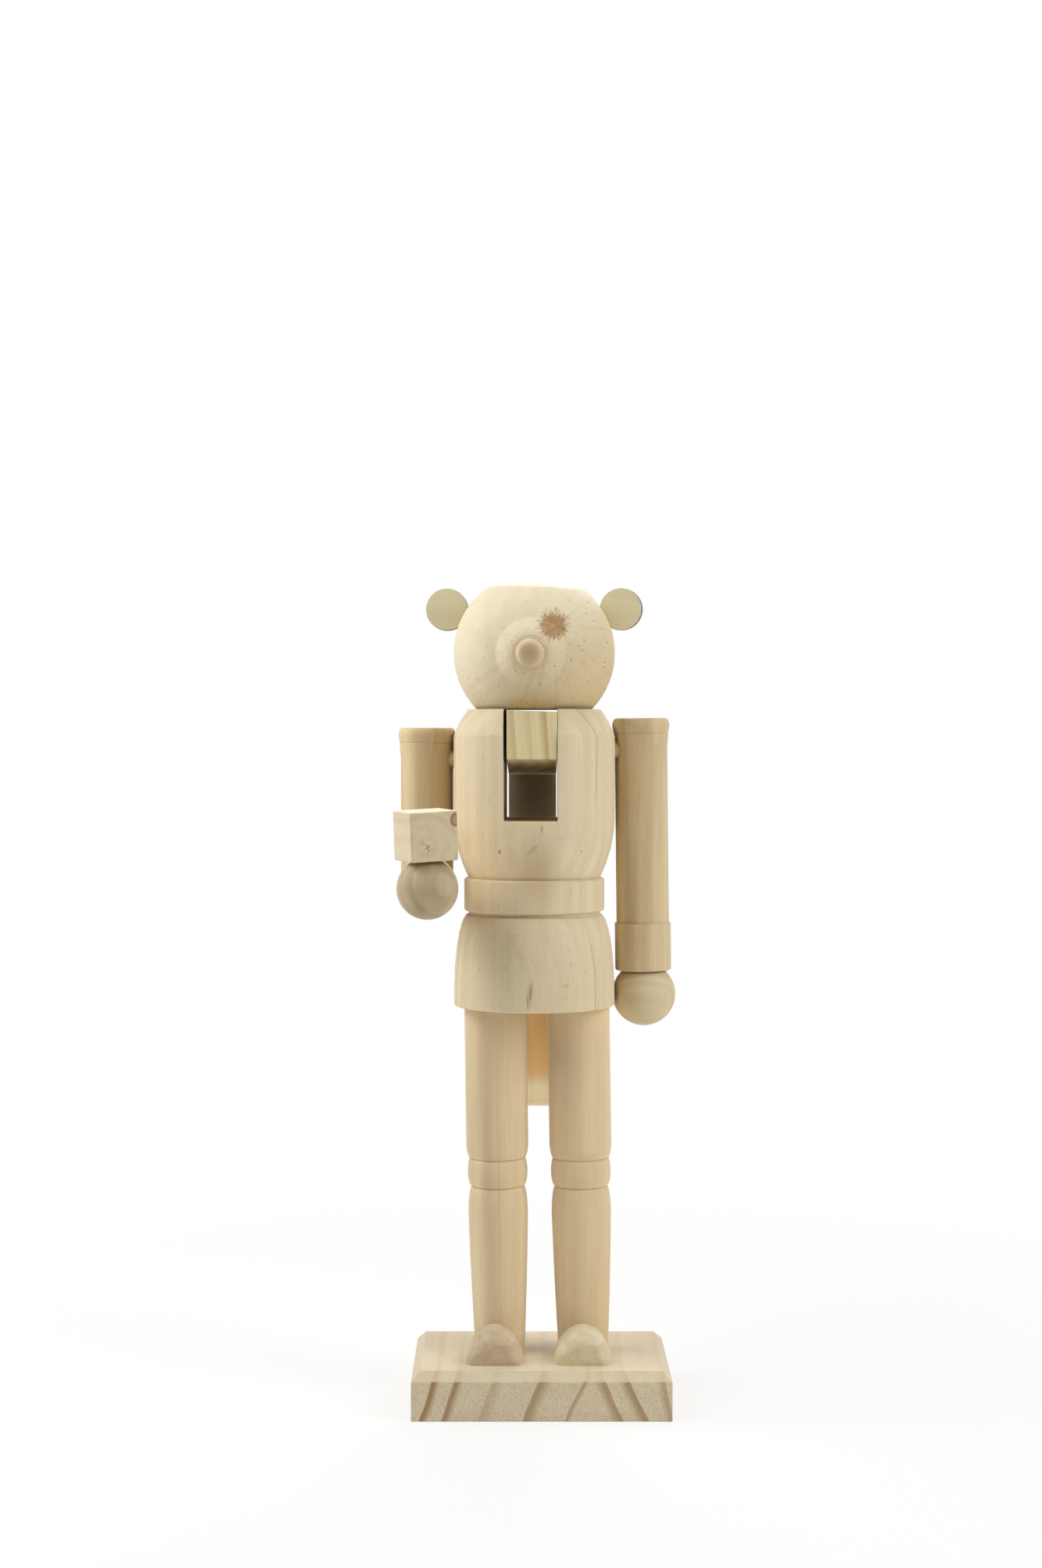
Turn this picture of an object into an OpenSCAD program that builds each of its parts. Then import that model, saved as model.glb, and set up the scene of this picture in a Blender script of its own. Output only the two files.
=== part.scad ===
// Unpainted wooden nutcracker: a standing bear with a ball head, round ears, a lever jaw,
// turned arms and legs, and a small gift block on the left hand.
// Millimetres, +Z up, front towards -Y, +X to the viewer's right.
// The origin is the middle of the base's underside.

/* [Base] */
// Width of the base block, side to side
base_w = 78; // [70:1:110]
// Depth of the base block, front to back
base_d = 56; // [48:1:90]
// Height of the base block
base_h = 14.5; // [12:0.5:30]
// Chamfer round the top edge of the base
base_chamfer = 2.8; // [0.5:0.1:4]
// Place of the figure, front to back from the middle of the base
figure_y = -2; // [-4:0.1:4]

/* [Legs] */
// Length of a leg, base to skirt
leg_len = 106.8; // [95:0.1:140]
// Diameter of the thigh
thigh_d = 19.1; // [15:0.1:22]
// Diameter of the bead at the knee
knee_d = 18.4; // [15:0.1:22]
// Height of the bead at the knee
knee_h = 8.6; // [5:0.1:14]
// Diameter at the bottom of the groove above the bead
upper_groove_d = 16.7; // [12:0.1:18]
// Diameter at the bottom of the groove below the bead
lower_groove_d = 15.8; // [12:0.1:18]
// Height of the rounded end of the thigh
thigh_round_h = 5; // [2:0.5:10]
// Length of the shin, base to the lower groove
shin_len = 51.4; // [40:0.1:70]
// Greatest diameter of the calf
calf_d = 18.3; // [14:0.1:22]
// Height of the rounded top of the calf, under the lower groove
calf_round_h = 8.4; // [4:0.1:14]
// Diameter of the ankle where it meets the base
ankle_d = 15.1; // [12:0.1:18]
// Bow of the calf's outline
calf_bow = 0.15; // [0:0.05:1]
// Distance between the two leg axes
leg_spacing = 25.6; // [23:0.1:32]
// Place of the pair of legs, sideways from the middle of the base
legs_x = 0.3; // [-4:0.1:4]
// Lean of the legs, from the feet towards the viewer's left
leg_lean = 0.8; // [0:0.1:2]

/* [Toes] */
// Width of a toe
toe_w = 17.8; // [12:0.1:22]
// Height of a toe above the base
toe_h = 10.6; // [6:0.1:16]
// Front of the toe, from the leg's axis
toe_reach = 17.6; // [14:0.1:22]
// Depth of the rounded front of the toe
toe_round = 4; // [2:0.1:8]
// Share of the toe's section that its blunt front keeps
toe_blunt = 0.6; // [0.2:0.05:0.9]
// Back of the toe, from the leg's axis
toe_back = 4; // [2:0.1:6]
// Sideways place of a toe, outwards from the leg's axis
toe_splay = 0.55; // [0:0.05:2]
// Sideways place of both toes, to the right of the legs
toe_shift = -1; // [-2:0.05:2]

/* [Body] */
// Place of the body's axis, sideways from the middle of the base
body_x = -2; // [-5:0.1:5]
// Diameter of the skirt at its hem
skirt_d = 49.4; // [46:0.1:49.6]
// Height of the skirt, hem to belt
skirt_h = 29.2; // [22:0.1:40]
// Height of the straight band at the hem
hem_h = 3.5; // [1.5:0.1:8]
// Rounding of the hem's lower edge
hem_round = 0.8; // [0.2:0.1:1.4]
// Diameter of the waist above and below the belt
waist_d = 40.4; // [36:0.1:42]
// Height of the groove under the belt
waist_groove_h = 0.9; // [0.3:0.1:2]
// Diameter of the belt
belt_d = 43.1; // [42.4:0.1:46]
// Height of the belt
belt_h = 10.1; // [6:0.1:14]
// Eased edge of the belt
belt_ease = 0.5; // [0.1:0.1:1]
// Greatest diameter of the torso
torso_d = 49.6; // [45:0.1:51]
// Height of the torso, belt to neck
torso_h = 51.7; // [48:0.1:60]
// Height over which the torso widens above the belt
torso_flare_h = 19; // [10:0.5:24]
// Diameter at the top of the shoulders
shoulder_d = 40.8; // [38:0.1:44]
// Height of the sloping shoulders
shoulder_h = 8.4; // [4:0.1:12]
// Bow of the shoulder's outline
shoulder_bow = 0.5; // [0:0.1:1]

/* [Mouth] */
// Width of the slot through the torso
slot_w = 16.3; // [14:0.1:18]
// Depth of the slot below the neck
slot_depth = 33.8; // [30:0.1:38]
// Sideways place of the slot from the body's axis
slot_x = -0.8; // [-2:0.05:1]
// Turn of the slot towards the viewer's left
slot_turn = 1.35; // [-3:0.05:3]
// Turn of the slot's right wall, which narrows the slot towards the back
slot_narrow = 0.5; // [0:0.05:0.8]
// Turn of the lever from the slot's right wall, tail towards the viewer's left
lever_turn = 0.2; // [0:0.05:1.5]
// Gap between the front of the jaw and the slot's right wall
lever_right_gap = 0.15; // [0.1:0.05:0.7]
// Gap between the back of the lever and the slot's left wall
lever_left_gap = 0.35; // [0.1:0.05:1.2]
// Height of the jaw's front face
jaw_h = 14.7; // [12:0.1:18]
// Gap between the jaw's left edge and the head above it
jaw_gap = 0.4; // [0.3:0.05:1]
// Slope of the jaw's top, down towards the viewer's right
jaw_top_slope = 2; // [0:0.1:3]
// Depth of the jaw's face behind the front of the torso
jaw_recess = 1.7; // [0.5:0.1:4]
// Slope of the lever's underside, down towards the back
jaw_slope = 6.2; // [0:0.1:7]
// Angle that the jaw opens through
jaw_open = 30; // [20:1:32]
// Diameter of the pin that the lever turns on
pin_d = 4; // [3:0.1:6]
// Place of the pin behind the body's axis
pin_back = 12; // [10.5:0.1:13.5]
// Depth of the pin's axis below the neck
pin_drop = 12.3; // [10:0.1:13]
// Gap between the lever's tail and the back of the body
tail_gap = 0.8; // [0.4:0.1:3]
// Thickness of the lever's tail
tail_t = 8; // [6:0.1:12]
// Length of the lever's tail below the neck
tail_len = 126.3; // [90:0.1:160]

/* [Head] */
// Diameter of the head's ball
head_d = 49.6; // [46:0.1:54]
// Diameter of the flat that the head sits on
head_seat_d = 35.4; // [34:0.1:40]
// Diameter of the crown, the flattened top of the head
crown_d = 30; // [15:0.1:34]
// Rise of the crown's middle above its rim
crown_rise = 1.6; // [0.3:0.1:2]
// Slope of the crown, down towards the viewer's right
crown_tilt = 2.3; // [-5:0.1:5]
// Turn of the head towards the viewer's left
head_turn = 3; // [-10:0.5:10]
// Nod of the head, nose down
head_nod = 1.7; // [0:0.1:4]
// Diameter of the snout at its root
snout_d = 24.8; // [22:0.1:30]
// Rise of the snout above the ball at the nose
snout_rise = 2.1; // [1:0.1:3]
// Width of the snout's flat rim round the nose
snout_rim = 0.9; // [0.4:0.1:2]
// Diameter of the nose
nose_d = 8.6; // [6:0.1:11]
// Length of the nose in front of the snout
nose_out = 4.2; // [2:0.1:7]
// Diameter of the flat end of the nose
nose_flat_d = 4.4; // [2:0.1:5]
// Depth of the nose's hole in the head
nose_in = 7; // [4:0.1:12]
// Diameter of an ear
ear_d = 12.9; // [9:0.1:18]
// Thickness of an ear
ear_t = 3; // [2:0.1:5]
// Angle of the ears above the middle of the head
ear_angle = 26.5; // [15:0.5:45]
// Depth that an ear's edge is let into the head
ear_sink = 1.3; // [0.6:0.1:3]
// Turn of the right ear towards the viewer's left
right_ear_turn = 8; // [0:0.5:12]
// Backward lean of the left ear
left_ear_lean = 3; // [0:0.5:8]

/* [Arms] */
// Angle of the shoulder pegs behind the body's sides
arm_turn = 12.5; // [0:0.5:15]
// Gap between a shoulder cap and the widest part of the torso
shoulder_gap = 0.35; // [0.1:0.05:3]
// Gap between the right hand and the skirt
hand_gap = 0.35; // [0.3:0.05:3]
// Diameter of the arm's shaft
arm_d = 16.3; // [14:0.1:16.8]
// Diameter of the cap at the shoulder
cap_d = 17.8; // [16.9:0.1:18.5]
// Height of the cap
cap_h = 4.7; // [3:0.1:7]
// Height of the cap's top above the shoulder peg
cap_rise = 9.7; // [8:0.1:14]
// Rounding of the cap's top edge
cap_round = 1.3; // [0.4:0.1:2]
// Depth of the line cut under the cap
cap_line = 0.2; // [0.1:0.05:0.4]
// Diameter of the cuff
cuff_d = 17.4; // [16.9:0.1:18.5]
// Length of the cuff
cuff_h = 14.7; // [8:0.1:20]
// Rounding of the cuff's end
cuff_round = 0.7; // [0.2:0.1:1.2]
// Length of the straight arm, shoulder peg to cuff end
right_arm_len = 68.5; // [55:0.1:80]
// Outward lean of the straight arm
right_arm_lean = 0.6; // [0:0.1:4]
// Depth of the right shoulder peg below the neck
right_shoulder_drop = 12.3; // [11:0.1:15]
// Depth of the left shoulder peg below the neck
left_shoulder_drop = 15.3; // [12:0.1:18]
// Length of the left upper arm, shoulder peg to elbow
upper_arm_len = 37.6; // [34:0.1:50]
// Bare length of the left forearm between elbow and cuff
forearm_bare = 16; // [4:0.1:25]
// Inward turn of the left forearm from straight ahead
forearm_turn = 2; // [0:0.1:5]
// Diameter of the right hand's ball
right_hand_d = 19.6; // [16:0.1:21]
// Diameter of the left hand's ball
left_hand_d = 18.2; // [16:0.1:20]
// Diameter of the flat where a hand meets its cuff
hand_flat_d = 12.8; // [9:0.1:14]
// Outward place of the right hand on its cuff
right_hand_out = 0.1; // [0:0.1:1.5]

/* [Gift] */
// Width and depth of the gift block
gift_w = 14.7; // [10:0.1:16]
// Height of the gift block
gift_h = 14.6; // [10:0.1:18]
// Diameter of the flat on the hand that the block is glued to
gift_seat_d = 7; // [4:0.1:10]
// Turn of the block on the hand
gift_turn = 22.6; // [-45:0.1:45]
// Sideways tilt of the block, down towards the left
gift_tilt = 2; // [-6:0.1:6]
// Forward tilt of the block
gift_nod = 2; // [-6:0.1:6]

/* [Dowels and fits] */
// Diameter of the dowels in the legs
leg_dowel_d = 6; // [4:0.1:8]
// Depth of a leg dowel on either side of its joint
leg_dowel_in = 8; // [5:0.1:10]
// Diameter of the neck dowels
neck_dowel_d = 4; // [3:0.1:5]
// Depth of a neck dowel on either side of its joint
neck_dowel_in = 7; // [4:0.1:8]
// Diameter of the elbow and wrist dowels
arm_dowel_d = 5; // [3:0.1:6]
// Depth of an elbow or wrist dowel on either side of its joint
arm_dowel_in = 6; // [4:0.1:7]
// Diameter of the shoulder pegs
peg_d = 6; // [4:0.1:7]
// Depth of a shoulder peg in the torso
peg_in = 10.5; // [6:0.1:11]
// Reach of a shoulder peg past the middle of the arm
peg_past = 3; // [1:0.1:5]
// Gap all round a glued dowel
glue_gap = 0.1; // [0.05:0.01:0.2]
// Gap all round a pin or peg that something turns on
turn_gap = 0.07; // [0.03:0.01:0.1]
// Free length at the end of each blind hole
hole_end_gap = 0.4; // [0.2:0.1:1]
// Eased edge at the ends of dowels, pins and pegs
dowel_ease = 0.5; // [0.2:0.1:1]

/* [Hidden] */

// Sides of the figure as the viewer sees it
left = -1;
right = 1;
// Points on a quarter of an ellipse, and on a bowed line
curve_steps = 9;
// Smoothness of the round shapes
$fn = 96;
// Slices of a toe's rounded front
toe_slices = 6;
// Overshoot of a cut past the surface that it opens
over = 1;
// Edge of a block larger than any piece that it cuts
huge = 120;
// Depth of the snout's root inside the ball
snout_sink = 0.3;

// Heights of the joints between the big pieces
hem_z = base_h + leg_len;
hip_shift = leg_len * tan(leg_lean);
calf_h = shin_len - calf_round_h;
belt_z = hem_z + skirt_h;
torso_z = belt_z + belt_h;
neck_z = torso_z + torso_h;

// Head
head_r = head_d / 2;
head_z = neck_z + ball_reach(head_seat_d / 2);
crown_rim = ball_reach(crown_d / 2);
crown_r = (pow(crown_d / 2, 2) + pow(crown_rise, 2)) / (2 * crown_rise);
snout_tip_r = nose_d / 2 + snout_rim;
snout_tip = ball_reach(snout_tip_r) + snout_rise;
ear_from_centre = head_r + ear_d / 2 - ear_sink;

// Lever
slot_floor_z = neck_z - slot_depth;
pin_z = neck_z - pin_drop;
jaw_top_z = neck_z - jaw_gap;
jaw_front_y = -(torso_d / 2 - jaw_recess);
tail_front_y = max(torso_d, skirt_d) / 2 + tail_gap;
tail_back_y = tail_front_y + tail_t;
tail_end_z = neck_z - tail_len;
jaw_bottom_z = jaw_top_z - jaw_h;
jaw_root_z = jaw_bottom_z - (tail_front_y - jaw_front_y) * tan(jaw_slope);
lever_angle = slot_narrow + lever_turn;
lever_w = slot_w - lever_left_gap - lever_right_gap - (tail_back_y - jaw_front_y) * tan(lever_angle);
pin_half_len = sqrt(pow(torso_d / 2, 2) - pow(pin_back + pin_d / 2, 2)) - dowel_ease / 2;

// Arms
right_hand_r = right_hand_d / 2;
right_hand_drop = sqrt(pow(right_hand_r, 2) - pow(hand_flat_d / 2, 2));
left_hand_r = left_hand_d / 2;
left_hand_reach = sqrt(pow(left_hand_r, 2) - pow(hand_flat_d / 2, 2));
hand_lean = right_arm_len * sin(right_arm_lean);
arm_out = max(
    torso_d / 2 + shoulder_gap + cap_d / 2,
    skirt_d / 2 + hand_gap + right_hand_r - right_hand_out - hand_lean
);
forearm_len = arm_d / 2 + forearm_bare + cuff_h;
peg_len = arm_out + peg_past - torso_d / 2 + peg_in;
right_shoulder_z = neck_z - right_shoulder_drop;
left_shoulder_z = neck_z - left_shoulder_drop;
gift_from_hand = sqrt(pow(left_hand_r, 2) - pow(gift_seat_d / 2, 2));

// Middle of the wall beside the slot, where a neck dowel fits
function neck_dowel_x(side) =
    (slot_x + side * slot_w / 2 + side * head_seat_d / 2) / 2;

function leg_x(side) = legs_x + side * leg_spacing / 2;

// Reach of the head's ball along an axis through its middle, at a distance from that axis
function ball_reach(r) = sqrt(pow(head_r, 2) - pow(r, 2));

// Quarter of an ellipse from an upright edge at [r0, z0] to a level edge at [r1, z1]
function swell(r0, z0, r1, z1) = [
    for (i = [0 : curve_steps])
        let (a = 90 * i / curve_steps)
        [r1 + (r0 - r1) * cos(a), z0 + (z1 - z0) * sin(a)]
];

// The same quarter taken from its level edge at [r0, z0] to its upright edge at [r1, z1]
function flare(r0, z0, r1, z1) = [
    for (i = [0 : curve_steps])
        let (a = 90 * i / curve_steps)
        [r0 + (r1 - r0) * sin(a), z1 - (z1 - z0) * cos(a)]
];

// Line from p to q that bows outwards by the given amount at its middle
function bowed(p, q, bow) = [
    for (i = [0 : curve_steps])
        let (t = i / curve_steps)
        [p[0] + (q[0] - p[0]) * t + bow * 4 * t * (1 - t), p[1] + (q[1] - p[1]) * t]
];

// Outline of a leg from its foot up, long at both ends, with room added all round
function leg_outline(room) = let (
    ankle_r = ankle_d / 2 + room,
    calf_r = calf_d / 2 + room,
    upper_r = upper_groove_d / 2 + room,
    lower_r = lower_groove_d / 2 + room,
    bead_r = knee_d / 2 + room,
    thigh_r = thigh_d / 2 + room,
    bead_top = shin_len + knee_h,
    bead_mid = shin_len + knee_h / 2
) concat(
    [[0, -over], [ankle_r, -over]],
    bowed([ankle_r, 0], [calf_r, calf_h], calf_bow),
    swell(calf_r, calf_h, lower_r, shin_len),
    flare(lower_r, shin_len, bead_r, bead_mid),
    swell(bead_r, bead_mid, upper_r, bead_top),
    flare(upper_r, bead_top, thigh_r, bead_top + thigh_round_h),
    [[thigh_r, leg_len + over], [0, leg_len + over]]
);

// Outline of the body from the hem up
function body_outline() = let (
    skirt_r = skirt_d / 2,
    waist_r = waist_d / 2,
    belt_r = belt_d / 2,
    torso_r = torso_d / 2,
    shoulder_r = shoulder_d / 2
) concat(
    [[0, hem_z]],
    flare(skirt_r - hem_round, hem_z, skirt_r, hem_z + hem_round),
    swell(skirt_r, hem_z + hem_h, waist_r, belt_z - waist_groove_h),
    [
        [waist_r, belt_z],
        [belt_r - belt_ease, belt_z],
        [belt_r, belt_z + belt_ease],
        [belt_r, torso_z - belt_ease],
        [belt_r - belt_ease, torso_z]
    ],
    bowed([waist_r, torso_z], [torso_r, torso_z + torso_flare_h], (torso_r - waist_r) / 4),
    bowed([torso_r, neck_z - shoulder_h], [shoulder_r, neck_z], shoulder_bow),
    [[0, neck_z]]
);

// Outline of the snout along the nose's axis, from inside the ball to the flat round the nose
function snout_outline() = let (root_r = snout_d / 2, steps = 2 * curve_steps) concat(
    [[0, ball_reach(root_r) - over], [root_r, ball_reach(root_r) - over]],
    [
        for (i = [0 : steps])
            let (
                t = i / steps,
                r = root_r + (snout_tip_r - root_r) * t,
                rise = (snout_rise + snout_sink) * (1 - cos(180 * t)) / 2
            )
            [r, ball_reach(r) - snout_sink + rise]
    ],
    [[0, snout_tip]]
);

// Outline of the shoulder cap and the shaft under it, down to the given depth below the peg
function shaft_outline(depth) = let (
    cap_r = cap_d / 2,
    arm_r = arm_d / 2,
    rim_z = cap_rise - cap_h,
    rim_r = (cap_r + arm_r) / 2
) concat(
    [
        [0, -depth],
        [arm_r, -depth],
        [arm_r, rim_z - cap_h],
        [rim_r, rim_z - cap_line],
        [rim_r - cap_line, rim_z],
        [rim_r, rim_z + cap_line]
    ],
    swell(cap_r, cap_rise - cap_h / 2, cap_r - cap_round, cap_rise),
    [[0, cap_rise]]
);

// Outline of a cuff, with its rounded end at zero and the arm above it
function cuff_outline() = let (cuff_r = cuff_d / 2) concat(
    [[0, 0]],
    flare(cuff_r - cuff_round, 0, cuff_r, cuff_round),
    [[cuff_r, cuff_h], [0, cuff_h]]
);

module turned(outline) {
    rotate_extrude()
        polygon(outline);
}

// Pin along +Z with both ends eased, centred on the origin
module peg(d, len) {
    turned([
        [0, -len / 2],
        [d / 2 - dowel_ease, -len / 2],
        [d / 2, -len / 2 + dowel_ease],
        [d / 2, len / 2 - dowel_ease],
        [d / 2 - dowel_ease, len / 2],
        [0, len / 2]
    ]);
}

// Blind hole on both sides of a joint, centred on the origin along Z
module glue_hole(d, depth) {
    cylinder(d = d + 2 * glue_gap, h = 2 * (depth + hole_end_gap), center = true);
}

// Half of space above the plane z = 0
module upper_half() {
    translate([-huge / 2, -huge / 2, 0])
        cube(huge);
}

// Side outline in Y and Z, given a width along +X
module sideways(w) {
    rotate([90, 0, 90])
        linear_extrude(w)
            children();
}

module at_ankle(side) {
    translate([leg_x(side), figure_y, base_h])
        children();
}

// Foot of a leg, with +Z along the leaning leg
module at_leg(side) {
    at_ankle(side)
        rotate([0, -leg_lean, 0])
            children();
}

module at_hip(side) {
    translate([leg_x(side) - hip_shift, figure_y, hem_z])
        children();
}

module at_neck_dowel(side) {
    translate([body_x + neck_dowel_x(side), figure_y, neck_z])
        children();
}

// Body's axis, turned with the slot along Y
module at_slot() {
    translate([body_x, figure_y, 0])
        rotate([0, 0, -slot_turn])
            children();
}

// Slot's axis, moved and turned so that the lever's right side is at x = 0
module at_lever() {
    at_slot()
        translate([slot_x + slot_w / 2 - lever_right_gap, jaw_front_y, 0])
            rotate([0, 0, lever_angle])
                translate([0, -jaw_front_y, 0])
                    children();
}

// Lever's pin, across the slot along Z
module at_pin() {
    at_slot()
        translate([0, pin_back, pin_z])
            rotate([0, 90, 0])
                children();
}

// Middle of the head, turned and nodded with the face along -Y
module at_head() {
    translate([body_x, figure_y, head_z])
        rotate([head_nod, 0, -head_turn])
            children();
}

// Axis of the nose, with +Z out of the face and zero at the snout's rim
module at_nose() {
    at_head()
        rotate([90, 0, 0])
            translate([0, 0, snout_tip])
                children();
}

// Middle of an ear, with its thickness along Z
module at_ear(side) {
    lean = side == left ? left_ear_lean : 0;
    turn = side == right ? right_ear_turn : 0;
    at_head()
        translate([side * ear_from_centre * cos(ear_angle), 0, ear_from_centre * sin(ear_angle)])
            rotate([90 - lean, 0, -turn])
                children();
}

function shoulder_z(side) = side == right ? right_shoulder_z : left_shoulder_z;

// Body's axis at the height of a shoulder, turned with the shoulder peg along X
module at_shoulder(side) {
    translate([body_x, figure_y, shoulder_z(side)])
        rotate([0, 0, side * arm_turn])
            children();
}

// Shoulder peg along +Z, outwards from its inner end in the torso
module at_shoulder_peg(side) {
    at_shoulder(side)
        translate([side * (torso_d / 2 - peg_in), 0, 0])
            rotate([0, side * 90, 0])
                children();
}

// Straight arm hanging from its peg
module at_right_arm() {
    at_shoulder(right)
        translate([arm_out, 0, 0])
            rotate([0, -right_arm_lean, 0])
                children();
}

// Joint between the right cuff and its hand
module at_right_wrist() {
    at_right_arm()
        translate([0, 0, -right_arm_len])
            children();
}

module at_left_arm() {
    at_shoulder(left)
        translate([-arm_out, 0, 0])
            children();
}

// Corner of the bent arm, turned with the forearm along -Y
module at_elbow() {
    at_left_arm()
        translate([0, 0, -upper_arm_len])
            rotate([0, 0, forearm_turn + arm_turn])
                children();
}

// Slanting face of the elbow, with the upper arm above it
module at_elbow_face() {
    at_elbow()
        rotate([-45, 0, 0])
            children();
}

// Joint between the left cuff and its hand, with +Z back along the forearm
module at_left_wrist() {
    at_elbow()
        translate([0, -forearm_len, 0])
            rotate([-90, 0, 0])
                children();
}

// Middle of the left hand
module at_left_hand() {
    at_elbow()
        translate([0, -forearm_len - left_hand_reach, 0])
            children();
}

// Underside of the gift block on the left hand
module at_gift() {
    at_left_hand()
        rotate([gift_nod, -gift_tilt, 0])
            translate([0, 0, gift_from_hand])
                rotate([0, 0, gift_turn - forearm_turn])
                    children();
}

// Block outline with both upper corners chamfered, in width and height
module chamfered_outline(w) {
    polygon([
        [-w / 2, 0],
        [w / 2, 0],
        [w / 2, base_h - base_chamfer],
        [w / 2 - base_chamfer, base_h],
        [-w / 2 + base_chamfer, base_h],
        [-w / 2, base_h - base_chamfer]
    ]);
}

module base() {
    color("burlywood") difference() {
        intersection() {
            translate([0, base_d / 2, 0])
                rotate([90, 0, 0])
                    linear_extrude(base_d)
                        chamfered_outline(base_w);
            translate([-base_w / 2, 0, 0])
                sideways(base_w)
                    chamfered_outline(base_d);
        }
        for (side = [left, right])
            at_ankle(side)
                glue_hole(leg_dowel_d, leg_dowel_in);
    }
}

module leg(side) {
    color("wheat") difference() {
        intersection() {
            at_leg(side)
                turned(leg_outline(0));
            translate([-huge / 2, -huge / 2, base_h])
                cube([huge, huge, leg_len]);
        }
        at_ankle(side)
            glue_hole(leg_dowel_d, leg_dowel_in);
        at_hip(side)
            glue_hole(leg_dowel_d, leg_dowel_in);
    }
}

// Section of a toe, between an ellipse and a parabola, as a share of its full size
module toe_section(share) {
    rise = [for (i = [0 : curve_steps]) sin(90 * i / curve_steps)];
    wide = [for (h = rise) (sqrt(1 - h * h) + sqrt(1 - h)) / 4];
    polygon(concat(
        [for (i = [0 : curve_steps]) share * [toe_w * wide[i], toe_h * rise[i]]],
        [for (i = [curve_steps - 1 : -1 : 0]) share * [-toe_w * wide[i], toe_h * rise[i]]]
    ));
}

// Slice of a toe at the given distance in front of the leg's axis
module toe_slice(reach, share) {
    translate([0, over - reach, 0])
        rotate([90, 0, 0])
            linear_extrude(over)
                toe_section(share);
}

module toe(side) {
    color("tan") difference() {
        at_ankle(side)
            translate([side * toe_splay + toe_shift, 0, 0])
                hull() {
                    for (i = [0 : toe_slices])
                        let (a = 90 * i / toe_slices)
                        toe_slice(toe_reach - toe_round * (1 - cos(a)),
                            toe_blunt + (1 - toe_blunt) * sin(a));
                    toe_slice(toe_back + over, 1);
                }
        at_leg(side)
            turned(leg_outline(glue_gap));
    }
}

module leg_dowel() {
    color("peru")
        peg(leg_dowel_d, 2 * leg_dowel_in);
}

// Slot seen from above, full width at the jaw's front and narrower behind it
module slot_plan() {
    left_x = slot_x - slot_w / 2;
    right_x = slot_x + slot_w / 2;
    front_in = (-huge / 2 - jaw_front_y) * tan(slot_narrow);
    back_in = (huge / 2 - jaw_front_y) * tan(slot_narrow);
    polygon([
        [left_x, -huge / 2],
        [right_x - front_in, -huge / 2],
        [right_x - back_in, huge / 2],
        [left_x, huge / 2]
    ]);
}

module body() {
    color("burlywood") difference() {
        translate([body_x, figure_y, 0])
            turned(body_outline());
        at_slot()
            translate([0, 0, slot_floor_z])
                linear_extrude(slot_depth + over)
                    slot_plan();
        at_pin()
            cylinder(d = pin_d + 2 * glue_gap, h = huge, center = true);
        for (side = [left, right]) {
            at_hip(side)
                glue_hole(leg_dowel_d, leg_dowel_in);
            at_neck_dowel(side)
                glue_hole(neck_dowel_d, neck_dowel_in);
            at_shoulder_peg(side)
                translate([0, 0, -hole_end_gap])
                    cylinder(d = peg_d + 2 * glue_gap, h = peg_in + hole_end_gap + over);
        }
    }
}

module lever_pin() {
    color("peru")
        at_pin()
            peg(pin_d, 2 * pin_half_len);
}

// Jaw, its arm through the slot and the tail down the back, seen from the side
module lever_outline() {
    top_r = jaw_top_z - pin_z;
    slope_y = pin_back + top_r * sin(jaw_open);
    slope_z = pin_z + top_r * cos(jaw_open);
    tail_mid_y = (tail_front_y + tail_back_y) / 2;
    tail_round_z = tail_end_z + tail_t / 2;
    polygon(concat(
        [[jaw_front_y, jaw_bottom_z], [jaw_front_y, jaw_top_z]],
        [
            for (i = [0 : curve_steps])
                let (a = jaw_open * i / curve_steps)
                [pin_back + top_r * sin(a), pin_z + top_r * cos(a)]
        ],
        [[tail_back_y, slope_z - (tail_back_y - slope_y) * tan(jaw_open)]],
        [
            for (i = [0 : 2 * curve_steps])
                let (a = 90 * i / curve_steps)
                [tail_mid_y + tail_t / 2 * cos(a), tail_round_z - tail_t / 2 * sin(a)]
        ],
        [[tail_front_y, jaw_root_z]]
    ));
}

module jaw_lever() {
    color("navajowhite") difference() {
        at_lever()
            translate([-lever_w, 0, 0])
                sideways(lever_w)
                    lever_outline();
        at_lever()
            translate([-lever_w, 0, jaw_top_z])
                rotate([0, jaw_top_slope, 0])
                    upper_half();
        at_pin()
            cylinder(d = pin_d + 2 * turn_gap, h = huge, center = true);
    }
}

// Ball that flattens the top of the head to a low dome
module crown() {
    translate([body_x, figure_y, head_z])
        rotate([0, crown_tilt, 0])
            translate([0, 0, crown_rim + crown_rise - crown_r])
                sphere(crown_r);
}

module head() {
    color("wheat") difference() {
        intersection() {
            at_head() {
                sphere(head_r);
                rotate([90, 0, 0])
                    turned(snout_outline());
            }
            crown();
        }
        translate([0, 0, neck_z])
            mirror([0, 0, 1])
                upper_half();
        at_nose()
            translate([0, 0, -nose_in - hole_end_gap])
                cylinder(d = nose_d + 2 * glue_gap, h = nose_in + hole_end_gap + over);
        for (side = [left, right]) {
            at_ear(side)
                cylinder(d = ear_d + 2 * glue_gap, h = ear_t + 2 * glue_gap, center = true);
            at_neck_dowel(side)
                glue_hole(neck_dowel_d, neck_dowel_in);
        }
    }
}

module neck_dowel(side) {
    color("peru")
        at_neck_dowel(side)
            peg(neck_dowel_d, 2 * neck_dowel_in);
}

module nose() {
    color("tan")
        at_nose()
            turned(concat(
                [[0, -nose_in], [nose_d / 2, -nose_in]],
                swell(nose_d / 2, nose_out / 3, nose_flat_d / 2, nose_out),
                [[0, nose_out]]
            ));
}

module ear(side) {
    color("darkkhaki")
        at_ear(side)
            cylinder(d = ear_d, h = ear_t, center = true);
}

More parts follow.
